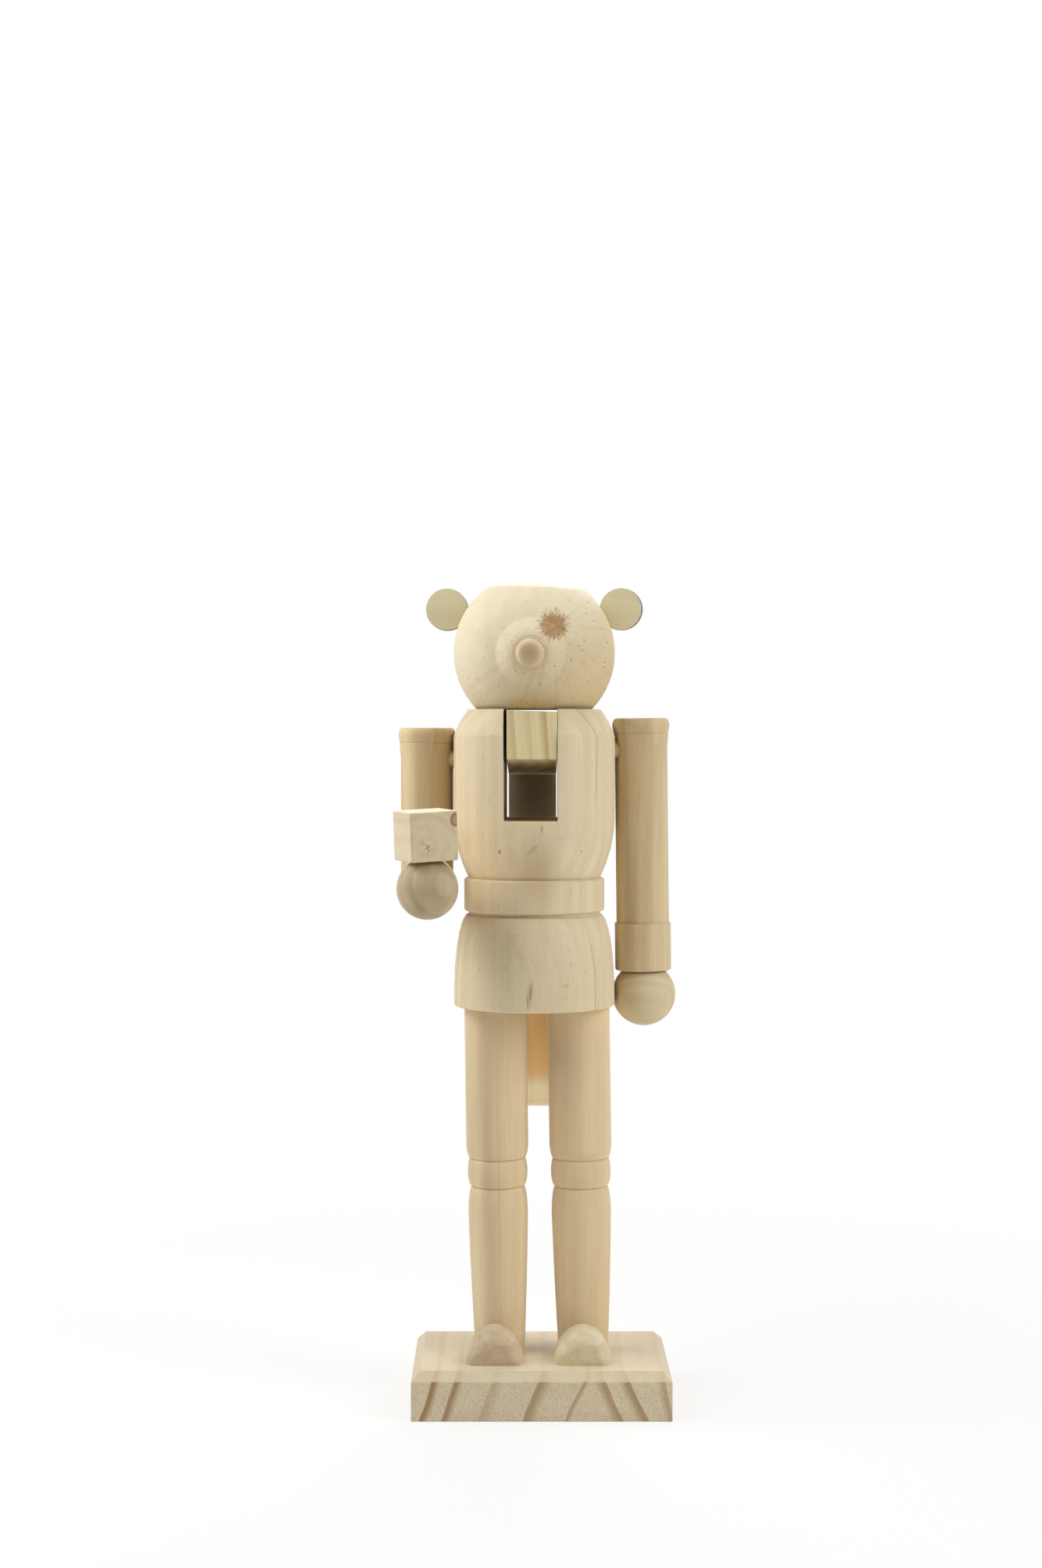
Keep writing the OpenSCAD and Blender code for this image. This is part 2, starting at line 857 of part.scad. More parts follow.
module shoulder_peg(side) {
    color("peru")
        at_shoulder_peg(side)
            translate([0, 0, peg_len / 2])
                peg(peg_d, peg_len);
}

// Hole in an arm for its shoulder peg
module shoulder_hole(side) {
    at_shoulder_peg(side)
        cylinder(d = peg_d + 2 * turn_gap, h = peg_len + hole_end_gap);
}

module right_arm() {
    color("tan") difference() {
        at_right_arm() {
            turned(shaft_outline(right_arm_len - cuff_h));
            translate([0, 0, -right_arm_len])
                turned(cuff_outline());
        }
        shoulder_hole(right);
        at_right_wrist()
            glue_hole(arm_dowel_d, arm_dowel_in);
    }
}

module arm_dowel() {
    color("peru")
        peg(arm_dowel_d, 2 * arm_dowel_in);
}

module right_hand() {
    color("tan") difference() {
        at_right_wrist()
            intersection() {
                translate([right_hand_out, 0, -right_hand_drop])
                    sphere(right_hand_r);
                mirror([0, 0, 1])
                    upper_half();
            }
        at_right_wrist()
            glue_hole(arm_dowel_d, arm_dowel_in);
    }
}

module left_upper_arm() {
    color("tan") difference() {
        intersection() {
            at_left_arm()
                turned(shaft_outline(upper_arm_len + arm_d));
            at_elbow_face()
                upper_half();
        }
        shoulder_hole(left);
        at_elbow_face()
            glue_hole(arm_dowel_d, arm_dowel_in);
    }
}

module left_forearm() {
    color("tan") difference() {
        union() {
            intersection() {
                at_left_wrist()
                    translate([0, 0, cuff_h])
                        cylinder(d = arm_d, h = forearm_len - cuff_h + arm_d);
                at_elbow_face()
                    mirror([0, 0, 1])
                        upper_half();
            }
            at_left_wrist()
                turned(cuff_outline());
        }
        at_elbow_face()
            glue_hole(arm_dowel_d, arm_dowel_in);
        at_left_wrist()
            glue_hole(arm_dowel_d, arm_dowel_in);
    }
}

module left_hand() {
    color("tan") difference() {
        at_left_hand()
            sphere(left_hand_r);
        at_left_wrist()
            upper_half();
        at_gift()
            upper_half();
        at_left_wrist()
            glue_hole(arm_dowel_d, arm_dowel_in);
    }
}

module gift_block() {
    color("wheat")
        at_gift()
            translate([-gift_w / 2, -gift_w / 2, 0])
                cube([gift_w, gift_w, gift_h]);
}

base();
leg(left);  // left_leg
leg(right);  // right_leg
toe(left);  // left_toe
toe(right);  // right_toe
at_ankle(left) leg_dowel();  // left_ankle_dowel
at_ankle(right) leg_dowel();  // right_ankle_dowel
at_hip(left) leg_dowel();  // left_hip_dowel
at_hip(right) leg_dowel();  // right_hip_dowel
body();
lever_pin();
jaw_lever();
head();
neck_dowel(left);  // left_neck_dowel
neck_dowel(right);  // right_neck_dowel
nose();
ear(left);  // left_ear
ear(right);  // right_ear
shoulder_peg(right);  // right_shoulder_peg
right_arm();
at_right_wrist() arm_dowel();  // right_wrist_dowel
right_hand();
shoulder_peg(left);  // left_shoulder_peg
left_upper_arm();
at_elbow_face() arm_dowel();  // elbow_dowel
left_forearm();
at_left_wrist() arm_dowel();  // left_wrist_dowel
left_hand();
gift_block();
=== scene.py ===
import math
from types import SimpleNamespace

import bmesh
import bpy
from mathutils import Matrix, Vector


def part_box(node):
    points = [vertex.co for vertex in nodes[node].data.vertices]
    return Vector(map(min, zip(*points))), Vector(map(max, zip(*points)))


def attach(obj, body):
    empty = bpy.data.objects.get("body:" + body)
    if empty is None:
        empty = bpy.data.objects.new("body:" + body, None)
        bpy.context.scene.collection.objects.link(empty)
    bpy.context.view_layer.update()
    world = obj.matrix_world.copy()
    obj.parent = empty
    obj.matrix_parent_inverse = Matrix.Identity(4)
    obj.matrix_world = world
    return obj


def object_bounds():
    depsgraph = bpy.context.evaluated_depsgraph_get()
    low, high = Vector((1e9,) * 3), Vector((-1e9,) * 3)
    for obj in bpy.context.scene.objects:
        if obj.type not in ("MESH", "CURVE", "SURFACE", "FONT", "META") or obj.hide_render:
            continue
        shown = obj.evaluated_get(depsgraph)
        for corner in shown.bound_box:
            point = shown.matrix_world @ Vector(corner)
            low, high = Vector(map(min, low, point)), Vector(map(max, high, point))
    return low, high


# A bear nutcracker of bare softwood, as it stands on a pale studio floor.
# Sizes and places are in millimetres, in the frame of the part, and MM turns them to Blender's metres.
MM = 0.001

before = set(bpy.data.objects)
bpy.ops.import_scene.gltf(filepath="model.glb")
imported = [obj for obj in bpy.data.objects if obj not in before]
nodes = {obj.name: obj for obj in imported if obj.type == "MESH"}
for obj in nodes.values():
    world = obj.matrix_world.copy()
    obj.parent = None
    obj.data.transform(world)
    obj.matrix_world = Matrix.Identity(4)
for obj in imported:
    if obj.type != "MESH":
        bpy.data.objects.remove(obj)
cad_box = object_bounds()


def linear(code):
    """Linear RGBA of an sRGB hex colour."""
    shares = [int(code[i:i + 2], 16) / 255 for i in (1, 3, 5)]
    return [s / 12.92 if s <= 0.04045 else ((s + 0.055) / 1.055) ** 2.4 for s in shares] + [1.0]


def add(tree, kind, inputs=None, out=0, **settings):
    """Adds one shader node with its settings and links, and gives the output that is wanted from it."""
    made = tree.nodes.new("ShaderNode" + kind)
    for name, value in settings.items():
        setattr(made, name, value)
    for socket, value in (inputs or {}).items():
        if isinstance(value, bpy.types.NodeSocket):
            tree.links.new(value, made.inputs[socket])
        else:
            made.inputs[socket].default_value = value
    return made.outputs[out] if made.outputs else made


def centre_of(name):
    """Middle of a node's box at rest, in mm."""
    low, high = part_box(name)
    return (Vector(low) + Vector(high)) / (2 * MM)


# Wood

# Directions of the grain
UPRIGHT = (0, 0, 1)
FRONT_TO_BACK = (0, 1, 0)
SIDEWAYS = (1, 0, 0)

# Sizes of the figure in the wood, across the grain. Single fibres, about 0.04 mm wide, are too fine to show,
# so each fine streak is drawn as wide as a bundle of them.
RING_WAVE = 14
FIBRE_STREAK = 0.45
COLOUR_STREAK = 3.5

# Factors for the log's axes, the last one along the grain: a small factor draws a pattern out along it
ALONG_RINGS = (1, 1, 0.12)
ALONG_FIBRES = (1, 1, 0.03)
ACROSS = (1, 1, 0)

# Distance within which surfaces that face each other get painted shade in the joint between them
JOINT_SHADE_REACH = 2.5


def start_wood(name, pith, grain, ring, early, late, show=0.5, wander=1.0, streaks=0.3, ends=0.3):
    """Solid wood cut from a log whose pith passes through a point along the grain.

    The growth rings lie round the pith, a ring width apart, so every cut face shows the figure that a saw or
    lathe would open there. show is the depth of the latewood colour, wander the unevenness of the rings in
    mm, streaks the depth of the fibres' own streaks, and ends the darkness of end grain.
    """
    material = bpy.data.materials.new(name)
    material.use_nodes = True
    tree = material.node_tree
    tree.nodes.clear()
    rest = add(tree, "TexCoord", out="Object")
    normal = rest.node.outputs["Normal"]
    place = add(tree, "VectorMath", {0: rest, "Scale": 1 / MM}, operation="SCALE")
    turn = Vector(grain).to_track_quat("Z", "Y").to_euler()
    log = add(tree, "Mapping", {"Vector": place, "Location": pith, "Rotation": turn}, vector_type="TEXTURE")
    wood = SimpleNamespace(material=material, tree=tree, place=place, normal=normal, log=log)

    latewood = growth_rings(wood, ring, show, wander)
    wood.colour = add(tree, "MixRGB", {"Fac": latewood, "Color1": linear(early), "Color2": linear(late)})
    streak(wood, streaks, late)
    darken_ends(wood, Vector(grain).normalized(), ends, late)
    return wood


def growth_rings(wood, ring, show, wander):
    """Share of latewood: it deepens through each year's growth and drops back sharply where the next year
    starts, and some years show more than others."""
    tree = wood.tree
    slow = add(tree, "VectorMath", {0: wood.log, 1: ALONG_RINGS}, operation="MULTIPLY")
    wave = add(tree, "TexNoise", {"Vector": slow, "Scale": 1 / RING_WAVE, "Detail": 2.0}, out="Fac")
    sway = add(tree, "MapRange", {"Value": wave, "To Min": -2 * wander, "To Max": 2 * wander})
    wood.across = add(tree, "VectorMath", {0: wood.log, 1: ACROSS}, operation="MULTIPLY")
    wood.radius = add(tree, "VectorMath", {0: wood.across}, out="Value", operation="LENGTH")
    wood.bent = add(tree, "Math", {0: wood.radius, 1: sway}, operation="ADD")
    years = add(tree, "Math", {0: wood.bent, 1: ring}, operation="DIVIDE")
    season = add(tree, "Math", {0: years}, operation="FRACT")
    rise = add(tree, "MapRange", {"Value": season, "From Min": 0.3, "From Max": 0.9},
               interpolation_type="SMOOTHSTEP")
    fall = add(tree, "MapRange", {"Value": season, "From Min": 0.91, "From Max": 1, "To Min": 1, "To Max": 0},
               interpolation_type="SMOOTHSTEP")
    year = add(tree, "Math", {0: years}, operation="FLOOR")
    luck = add(tree, "TexWhiteNoise", {"W": year}, out="Value", noise_dimensions="1D")
    depth = add(tree, "MapRange", {"Value": luck, "To Min": 0.35 * show, "To Max": show})
    band = add(tree, "Math", {0: rise, 1: fall}, operation="MULTIPLY")
    return add(tree, "Math", {0: band, 1: depth}, operation="MULTIPLY")


def streak(wood, depth, colour):
    """Draws fine streaks along the fibres, over broad soft bands of colour."""
    tree = wood.tree
    thread = add(tree, "VectorMath", {0: wood.log, 1: ALONG_FIBRES}, operation="MULTIPLY")
    broad = add(tree, "TexNoise", {"Vector": thread, "Scale": 1 / COLOUR_STREAK, "Detail": 2.0}, out="Fac")
    band = add(tree, "MapRange", {"Value": broad, "From Min": 0.35, "From Max": 0.75, "To Max": depth})
    stain(wood, band, colour)
    fine = add(tree, "TexNoise", {"Vector": thread, "Scale": 1 / FIBRE_STREAK, "Detail": 3.0}, out="Fac")
    line = add(tree, "MapRange", {"Value": fine, "From Min": 0.45, "From Max": 0.8, "To Max": 0.6 * depth})
    stain(wood, line, colour)
    wood.fine = fine


def darken_ends(wood, grain, depth, colour):
    """Darkens end grain: where the surface cuts across the fibres, it drinks light."""
    tree = wood.tree
    facing = add(tree, "VectorMath", {0: wood.normal, 1: grain}, out="Value", operation="DOT_PRODUCT")
    square = add(tree, "Math", {0: facing, 1: facing}, operation="MULTIPLY")
    wood.end = add(tree, "MapRange", {"Value": square, "From Min": 0.35, "From Max": 0.95},
                   interpolation_type="SMOOTHSTEP")
    stain(wood, add(tree, "Math", {0: wood.end, 1: depth}, operation="MULTIPLY"), colour)


def stain(wood, share, colour):
    """Lays a colour over the wood by a share from 0 to 1."""
    wood.colour = add(wood.tree, "MixRGB", {"Fac": share, "Color1": wood.colour, "Color2": linear(colour)})


def flecks(wood, spacing, size, long, colour, common=0.5, where=1.0):
    """Strews cut resin ducts and pores, drawn coarser than real pores so that they show.

    spacing and size are in mm, long is their length in spacings, common the share of places that hold one,
    and where the share by which they show.
    """
    tree = wood.tree
    stretch = (1 / spacing, 1 / spacing, 1 / (spacing * long))
    cells = add(tree, "VectorMath", {0: wood.log, 1: stretch}, operation="MULTIPLY")
    near = add(tree, "TexVoronoi", {"Vector": cells, "Scale": 1.0}, out="Distance")
    picked = add(tree, "Math", {0: near.node.outputs["Color"], 1: 1 - common}, operation="GREATER_THAN")
    reach = size / spacing
    fleck = add(tree, "MapRange", {"Value": near, "From Min": reach, "From Max": 0.3 * reach},
                interpolation_type="SMOOTHSTEP")
    share = add(tree, "Math", {0: fleck, 1: picked}, operation="MULTIPLY")
    stain(wood, add(tree, "Math", {0: share, 1: where}, operation="MULTIPLY"), colour)


def mark(wood, centre, reach, soft=0.6, turn=0.0, ragged=0.0, depth=1.0):
    """Share of a spot in the wood, from depth at its middle to 0 at its edge.

    reach is its half size along X, Y and Z in mm, soft the part of it over which it fades, and ragged breaks
    up its edge. turn leans its top to the viewer's left, in degrees.
    """
    tree = wood.tree
    lean = (0, math.radians(-turn), 0)
    inside = add(tree, "Mapping", {"Vector": wood.place, "Location": centre, "Scale": reach,
                                   "Rotation": lean}, vector_type="TEXTURE")
    away = add(tree, "VectorMath", {0: inside}, out="Value", operation="LENGTH")
    if ragged:
        tears_per_mm = 2.2
        tear = add(tree, "TexNoise", {"Vector": wood.log, "Scale": tears_per_mm, "Detail": 2.0}, out="Fac")
        away = add(tree, "Math", {0: tear, 1: ragged, 2: away}, operation="MULTIPLY_ADD")
        away = add(tree, "Math", {0: away, 1: ragged / 2}, operation="SUBTRACT")
    return add(tree, "MapRange", {"Value": away, "From Min": 1.0, "From Max": 1.0 - soft, "To Max": depth},
               interpolation_type="SMOOTHSTEP")


def spot(wood, colour, centre, reach, **edge):
    """Stains one spot, whose edge is given as for mark."""
    stain(wood, mark(wood, centre, reach, **edge), colour)


def finish_wood(wood, roughness=0.62, relief=0.03):
    """Ends a wood with its sanded surface: a dull gloss, fibres that stand up by a relief in mm, their fuzz,
    which pales the rims, and painted shade in the narrow joints between pieces."""
    tree = wood.tree
    # Painted shade: ambient occlusion darkens the wood where other surfaces close it in
    open_share = add(tree, "AmbientOcclusion", {"Distance": JOINT_SHADE_REACH * MM}, out="AO", samples=8)
    joint = add(tree, "MapRange", {"Value": open_share, "From Min": 0.5, "From Max": 0.0, "To Max": 0.75})
    stain(wood, joint, "#4d3c26")
    bump = add(tree, "Bump", {"Height": wood.fine, "Distance": relief * MM, "Strength": 0.6})
    uneven = 0.08
    matte = add(tree, "MapRange", {"Value": wood.fine, "To Min": roughness - uneven,
                                   "To Max": roughness + uneven})
    shader = add(tree, "BsdfPrincipled", {
        "Base Color": wood.colour, "Roughness": matte, "Normal": bump, "IOR": 1.5, "Specular IOR Level": 0.3,
        "Sheen Weight": 0.2, "Sheen Roughness": 0.4})
    add(tree, "OutputMaterial", {"Surface": shader})
    return wood.material


# Base, legs and toes

def base_pine():
    """Sawn and sanded radiata pine, with the end grain on the front: wide pale years and slanting brown
    bands, each with a hard edge on the bark side, that run back through the block and only tint its top."""
    wood = start_wood("sawn_radiata_pine_base", (12, 0, -60), FRONT_TO_BACK, 9.0, "#dfd2b6", "#c0a67e",
                      show=0.1, wander=1.0, streaks=0.2, ends=0.1)
    tree = wood.tree
    bands = slanting_bands(wood)
    cut = add(tree, "MapRange", {"Value": wood.end, "To Min": 0.14, "To Max": 0.9})
    stain(wood, add(tree, "Math", {0: bands, 1: cut}, operation="MULTIPLY"), "#9b764a")
    stain(wood, add(tree, "MapRange", {"Value": wood.end, "To Min": 0.2, "To Max": 0.0}), "#c0a67e")
    flecks(wood, 0.5, 0.19, 12, "#9c8663", common=0.7, where=wood.end)
    return finish_wood(wood, relief=0.05)


def slanting_bands(wood):
    """Share of the base's brown bands, which lean towards each other at the top."""
    tree = wood.tree
    # Place of each band across the block at mid height, its slope, its width and its depth of colour
    bands = [(-34.1, 0.35, 2.6, 1.0), (-27.5, 0.36, 2.9, 0.9), (-16.4, 0.34, 3.4, 0.4),
             (-2.9, 0.42, 4.4, 0.75), (10.1, 0.48, 1.7, 0.65), (21.0, -0.45, 3.5, 0.75),
             (28.4, -0.5, 3.5, 0.8), (37.6, -0.2, 2.4, 0.6)]
    # The bark side of a band is its left on the left of this place, and its right on the right of it
    turning_x = 12.6
    mid_z = 7.0
    wobble = 1.6
    wobble_length = 9
    hard_edge = 0.45
    side = add(tree, "SeparateXYZ", {0: wood.place}, out="X")
    height = side.node.outputs["Z"]
    wave = add(tree, "TexNoise", {"Vector": wood.place, "Scale": 1 / wobble_length, "Detail": 2.0}, out="Fac")
    across = add(tree, "Math", {0: wave, 1: wobble, 2: side}, operation="MULTIPLY_ADD")
    total = 0.0
    for x, slope, width, depth in bands:
        outwards = 1 if x > turning_x else -1
        past = add(tree, "Math", {0: height, 1: -slope, 2: across}, operation="MULTIPLY_ADD")
        # The wave's mean, half of its reach, is taken off again here
        past = add(tree, "Math", {0: past, 1: x + wobble / 2 - slope * mid_z}, operation="SUBTRACT")
        past = add(tree, "Math", {0: past, 1: outwards}, operation="MULTIPLY")
        rise = add(tree, "MapRange", {"Value": past, "From Min": -width, "From Max": -0.3 * width,
                                      "To Max": depth})
        fall = add(tree, "MapRange", {"Value": past, "From Min": 0, "From Max": hard_edge, "To Min": 1,
                                      "To Max": 0}, interpolation_type="SMOOTHSTEP")
        band = add(tree, "Math", {0: rise, 1: fall}, operation="MULTIPLY")
        total = add(tree, "Math", {0: band, 1: total}, operation="MAXIMUM")
    return total


def leg_wood(name, pith_x, early, late, bands):
    """Turned and sanded softwood: straight upright bands of the years, soft as the wood was young. bands are
    upright stripes, each with its place across the leg, half width, depth and colour: single years that
    stand out, and on the right leg a stripe that is partly a year and partly painted shade."""
    wood = start_wood("turned_softwood_" + name, (pith_x, 26, 60), (0.02, 0, 1), 6.5, early, late, show=0.4,
                      wander=0.8, streaks=0.35, ends=0.2)
    flecks(wood, 1.8, 0.1, 12, "#b3946a", common=0.3)
    lean = 0.8
    for x, width, depth, colour in bands:
        spot(wood, colour, (x, -10, 68), (width, 20, 75), soft=1.0, turn=lean, depth=depth)
    return finish_wood(wood)


def toe_wood(name, early, late):
    """Sanded softwood with the end grain to the front: mottled, and darker than the wood beside it."""
    pith = centre_of(name) + Vector((3, 0, -14))
    wood = start_wood("sanded_end_grain_" + name, pith, FRONT_TO_BACK, 5.0, early, late, show=0.3, wander=1.5,
                      streaks=0.3, ends=0.15)
    tree = wood.tree
    mottle = 2.5
    cloud = add(tree, "TexNoise", {"Vector": wood.place, "Scale": 1 / mottle, "Detail": 3.0}, out="Fac")
    patch = add(tree, "MapRange", {"Value": cloud, "From Min": 0.45, "From Max": 0.75, "To Max": 0.4})
    stain(wood, patch, late)
    flecks(wood, 0.55, 0.15, 12, "#ab9676", common=0.4, where=wood.end)
    return finish_wood(wood)


# Body and lever

def body_wood():
    """Turned and sanded softwood, cut well away from the pith: pale wide years that show as slow upright
    lines, short dark dashes of resin ducts, a few marks in the torso and the skirt, and a broad
    painted shade low on the torso's front."""
    wood = start_wood("turned_softwood_body", (12.8, 60, 150), (0.01, 0, 1), 4.12, "#e2d2af", "#c4a57a",
                      show=0.14, wander=0.5, streaks=0.28, ends=0.1)
    hard_year(wood)
    flecks(wood, 0.9, 0.11, 14, "#aa8c62", common=0.8)
    flecks(wood, 1.9, 0.14, 11, "#a0825a", common=0.4)
    # Brown specks low on the torso, and between them a broad painted shade on the front and two smudges
    for x in (-12.6, 12.1):
        spot(wood, "#96754c", (x, -24, 169.4), (0.6, 5, 1.0), depth=0.7)
    spot(wood, "#b99d75", (-1, -24, 164), (9, 12, 17), soft=1.0, depth=0.55)
    spot(wood, "#b28f62", (0.0, -26, 176.3), (0.8, 5, 2.0), soft=1.0, ragged=0.6, depth=0.7)
    spot(wood, "#b39c78", (-2.6, -26, 170.2), (1.2, 5, 4.2), soft=1.0, turn=-48, ragged=0.4, depth=0.6)
    # A broad faint band on the skirt, a split streak and a resin mark near its hem, and a scratch above them
    spot(wood, "#c6a878", (-6.8, -24, 139), (2.2, 10, 11), soft=1.0, turn=25, depth=0.22)
    spot(wood, "#c09a66", (-3.6, -27, 126.8), (1.5, 4, 5.5), soft=1.0, turn=-3, ragged=0.5, depth=0.7)
    spot(wood, "#9b7748", (-3.2, -27, 128.0), (0.35, 4, 4.2), turn=-5, ragged=0.6, depth=0.6)
    spot(wood, "#a07c4c", (-4.2, -27, 124.4), (0.3, 4, 3.0), turn=4, ragged=0.6, depth=0.6)
    spot(wood, "#c39c69", (7.5, -26, 129.4), (1.7, 4, 1.3), soft=1.0, ragged=0.6, depth=0.7)
    spot(wood, "#86704f", (8.4, -26, 139.6), (0.35, 4, 1.3), turn=25, depth=0.7)
    return finish_wood(wood)


def hard_year(wood):
    """Draws one hard year as a thin brown line on the right, high on the torso and low on the skirt."""
    tree = wood.tree
    ring_r = 78.3
    off = add(tree, "Math", {0: wood.bent, 1: ring_r}, operation="SUBTRACT")
    off = add(tree, "Math", {0: off}, operation="ABSOLUTE")
    line = add(tree, "MapRange", {"Value": off, "From Min": 0.32, "From Max": 0.1, "To Max": 0.45})
    height = add(tree, "SeparateXYZ", {0: wood.place}, out="Z")
    torso = add(tree, "MapRange", {"Value": height, "From Min": 180, "From Max": 190})
    skirt = add(tree, "MapRange", {"Value": height, "From Min": 146, "From Max": 140})
    parts = add(tree, "Math", {0: torso, 1: skirt}, operation="ADD")
    stain(wood, add(tree, "Math", {0: line, 1: parts}, operation="MULTIPLY"), "#b08d5c")


def lever_pine():
    """Sawn and sanded pine: upright years on the jaw's face, and an orange tail that is pale over its last
    few mm. The tail's front gets painted shade where the slot shows it, for the even deep shade in there."""
    wood = start_wood("sawn_pine_lever", (-61.3, -8.5, 198.5), (-0.07, 0, 1), 4.7, "#ebdcae", "#b8925a",
                      show=0.75, wander=0.3, streaks=0.25, ends=0.0)
    tree = wood.tree
    low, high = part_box("jaw_lever")
    tail_end = low[2] / MM
    height = add(tree, "SeparateXYZ", {0: wood.place}, out="Z")
    tail = add(tree, "MapRange", {"Value": height, "From Min": tail_end + 7, "From Max": tail_end + 11})
    below_jaw = add(tree, "MapRange", {"Value": height, "From Min": 185, "From Max": 170})
    tint = add(tree, "Math", {0: tail, 1: below_jaw}, operation="MULTIPLY")
    stain(wood, add(tree, "Math", {0: tint, 1: 0.8}, operation="MULTIPLY"), "#f0c488")
    stain(wood, add(tree, "MapRange", {"Value": tail, "To Min": 0.8, "To Max": 0.0}), "#fdf1d0")
    # Painted shade: the tail's forward faces inside the slot are darkened
    in_slot = mark(wood, (-2, 24, 178), (14, 3, 26), soft=0.2, depth=0.95)
    facing = add(tree, "SeparateXYZ", {0: wood.normal}, out="Y")
    to_front = add(tree, "MapRange", {"Value": facing, "From Min": -0.5, "From Max": -0.9})
    stain(wood, add(tree, "Math", {0: in_slot, 1: to_front}, operation="MULTIPLY"), "#a4977f")
    return finish_wood(wood)


# Head, nose and ears

def head_wood():
    """Turned softwood with the pith on the face: a torn star of brown fibres where the lathe tool pulled the
    pith out, faint rings and rays round it, and small dark flecks, which are plainest in the yellower wood
    low on the right."""
    wood = start_wood("turned_softwood_head", (3.6, 0, 237.2), FRONT_TO_BACK, 5.5, "#e4d8bb", "#c9ad7f",
                      show=0.1, wander=1.2, streaks=0.14, ends=0.1)
    tree = wood.tree
    middle = centre_of("head")
    down_right = (0.55, 0, -0.83)
    from_middle = add(tree, "Mapping", {"Vector": wood.place, "Location": middle}, vector_type="TEXTURE")
    low_right = add(tree, "VectorMath", {0: from_middle, 1: down_right}, out="Value", operation="DOT_PRODUCT")
    yellow = add(tree, "MapRange", {"Value": low_right, "From Min": -5, "From Max": 22, "To Max": 0.7})
    stain(wood, yellow, "#c8ad76")
    # Rays: noise that depends on the direction from the pith alone
    spoke = add(tree, "VectorMath", {0: wood.across}, operation="NORMALIZE")
    rays = add(tree, "TexNoise", {"Vector": spoke, "Scale": 11.0, "Detail": 3.0}, out="Fac")
    ray = add(tree, "MapRange", {"Value": rays, "From Min": 0.5, "From Max": 0.75, "To Max": 0.2})
    rough = add(tree, "MapRange", {"Value": low_right, "From Min": -14, "From Max": 6, "To Min": 0.25})
    stain(wood, add(tree, "Math", {0: ray, 1: rough}, operation="MULTIPLY"), "#b0905f")
    torn_star(wood, spoke)
    flecks(wood, 1.1, 0.22, 4, "#a98b5f", common=0.7, where=rough)
    flecks(wood, 2.2, 0.36, 4, "#9a7846", common=0.7, where=rough)
    return finish_wood(wood)


def torn_star(wood, spoke):
    """Lays the star over the face: torn fibres that end 2 to 6 mm from the pith, paler at its very middle."""
    tree = wood.tree
    slow = add(tree, "Math", {0: wood.radius, 1: 0.45}, operation="MULTIPLY")
    out = add(tree, "CombineXYZ", {"Z": slow})
    fineness = (12, 12, 12)
    along = add(tree, "VectorMath", {0: spoke, 1: fineness, 2: out}, operation="MULTIPLY_ADD")
    fibre = add(tree, "TexNoise", {"Vector": along, "Scale": 1.0, "Detail": 3.0, "Roughness": 0.6}, out="Fac")
    reach = add(tree, "MapRange", {"Value": fibre, "From Min": 0.3, "From Max": 0.7, "To Min": 2.4,
                                   "To Max": 6.0})
    inside = add(tree, "Math", {0: reach, 1: wood.radius}, operation="SUBTRACT")
    star = add(tree, "MapRange", {"Value": inside, "From Min": -0.4, "From Max": 0.8, "To Max": 0.9},
               interpolation_type="SMOOTHSTEP")
    front = add(tree, "SeparateXYZ", {0: wood.place}, out="Y")
    face = add(tree, "MapRange", {"Value": front, "From Min": 0, "From Max": -6})
    star = add(tree, "Math", {0: star, 1: face}, operation="MULTIPLY")
    torn = add(tree, "TexNoise", {"Vector": along, "Scale": 1.7, "Detail": 2.0}, out="Fac")
    depth = add(tree, "MapRange", {"Value": torn, "From Min": 0.38, "From Max": 0.62})
    strand = add(tree, "MixRGB", {"Fac": depth, "Color1": linear("#bc945d"), "Color2": linear("#7d5428")})
    middle = add(tree, "MapRange", {"Value": wood.radius, "From Min": 0.9, "From Max": 0.3, "To Max": 0.4})
    strand = add(tree, "MixRGB", {"Fac": middle, "Color1": strand, "Color2": linear("#c4a878")})
    wood.colour = add(tree, "MixRGB", {"Fac": star, "Color1": wood.colour, "Color2": strand})


NOSE_AXIS = Vector((-0.052, -1, -0.03)).normalized()


def nose_dowel():
    """End of a sanded dowel: a pale rounded rim about a darker middle, partly end grain and partly painted
    shade.
    """
    wood = start_wood("sanded_dowel_nose", centre_of("nose"), NOSE_AXIS, 2.2, "#dcc8a2", "#ad9169", show=0.2,
                      wander=0.2, streaks=0.2, ends=0.1)
    dark_middle_r = 4.4
    # The darker middle is partly end grain and partly painted shade on the forward-facing end
    end_grain_and_shade = add(wood.tree, "MapRange", {"Value": wood.radius, "From Min": dark_middle_r, "From Max": 0.0,
                                       "To Max": 0.75})
    stain(wood, end_grain_and_shade, "#a0855e")
    return finish_wood(wood)


def ear_plywood(name):
    """Laser-cut plywood: a dull khaki face, and a cut edge that the laser scorched almost black."""
    pith = centre_of(name) + Vector((0, 40, 0))
    wood = start_wood("laser_cut_plywood_" + name, pith, SIDEWAYS, 8.0, "#e2d6ae", "#cdbf95", show=0.3,
                      wander=1.0, streaks=0.3, ends=0.0)
    tree = wood.tree
    facing = add(tree, "SeparateXYZ", {0: wood.normal}, out="Y")
    flat = add(tree, "Math", {0: facing}, operation="ABSOLUTE")
    wall = add(tree, "MapRange", {"Value": flat, "From Min": 0.9, "From Max": 0.5})
    stain(wood, wall, "#4a4536")
    return finish_wood(wood, roughness=0.7)


# Arms, hands and gift

